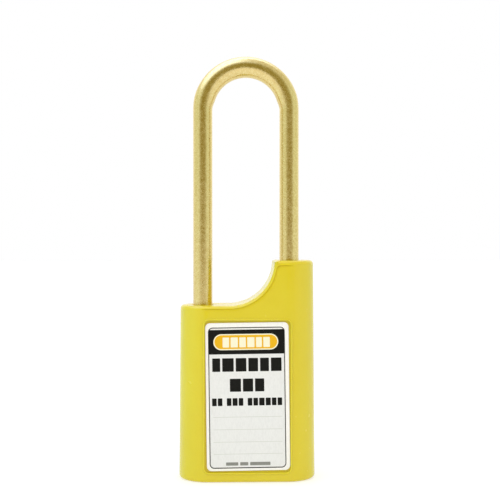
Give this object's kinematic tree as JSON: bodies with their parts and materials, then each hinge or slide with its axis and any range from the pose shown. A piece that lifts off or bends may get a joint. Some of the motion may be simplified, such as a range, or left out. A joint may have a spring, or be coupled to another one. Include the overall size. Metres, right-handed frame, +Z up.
{
  "type": "safety padlock",
  "caption": "Keyed safety padlock: moulded plastic body with a low and a high shoulder, long slim brass shackle, label recess front and back.",
  "frame": {"origin": "centre of the flat underside", "axes": "+Z up along the shackle legs, -Y the labelled front, -X the toe leg and low shoulder, +X the heel leg and high shoulder"},
  "size_m": [0.0444, 0.02, 0.1375],
  "materials": {
    "yellow_nylon": "satin moulded, golden yellow",
    "shackle_brass": "satin drawn bar",
    "plug_brass": "turned",
    "pin_brass": "turned",
    "zinc_casting": "die-cast, matt grey",
    "screw_steel": "zinc plated",
    "spring_steel": "bright spring steel",
    "label_card": "white laminated card, printed"
  },
  "bodies": {
    "lock_body": {"body_shell": "yellow_nylon", "bottom_cover": "yellow_nylon", "cover_screw_left": "screw_steel", "cover_screw_right": "screw_steel", "label_front": "label_card", "label_back": "label_card", "shackle_spring": "spring_steel", "heel_pin": "screw_steel", "lock_core": "zinc_casting", "driver_pin_1": "screw_steel", "driver_pin_2": "screw_steel", "driver_pin_3": "screw_steel", "driver_pin_4": "screw_steel", "driver_pin_5": "screw_steel", "pin_spring_1": "spring_steel", "pin_spring_2": "spring_steel", "pin_spring_3": "spring_steel", "pin_spring_4": "spring_steel", "pin_spring_5": "spring_steel", "spine_cap": "zinc_casting", "plug_clip": "spring_steel", "spring_latch": "spring_steel", "latch_rivet": "screw_steel", "chamber_cover": "screw_steel", "chamber_screw_bottom": "screw_steel", "chamber_screw_top": "screw_steel", "core_screw": "screw_steel"},
    "shackle": {"shackle": "shackle_brass"},
    "key_cylinder": {"cylinder_plug": "plug_brass", "key_pin_1": "pin_brass", "key_pin_2": "pin_brass", "key_pin_3": "pin_brass", "key_pin_4": "pin_brass", "key_pin_5": "pin_brass", "cam": "screw_steel", "cam_screw": "screw_steel"}
  },
  "joints": [
    {"name": "shackle_lift", "type": "slide", "parent": "lock_body", "child": "shackle", "axis": [0, 0, 1], "range_m": [0, 0.012], "deforming": ["shackle_spring", "spring_latch"]},
    {"name": "key_turn", "type": "hinge", "parent": "lock_body", "child": "key_cylinder", "pos_m": [0.0016, 0, 0.0006], "axis": [0, 0, 1], "range_deg": [0, 90], "deforming": ["spring_latch"]}
  ]
}
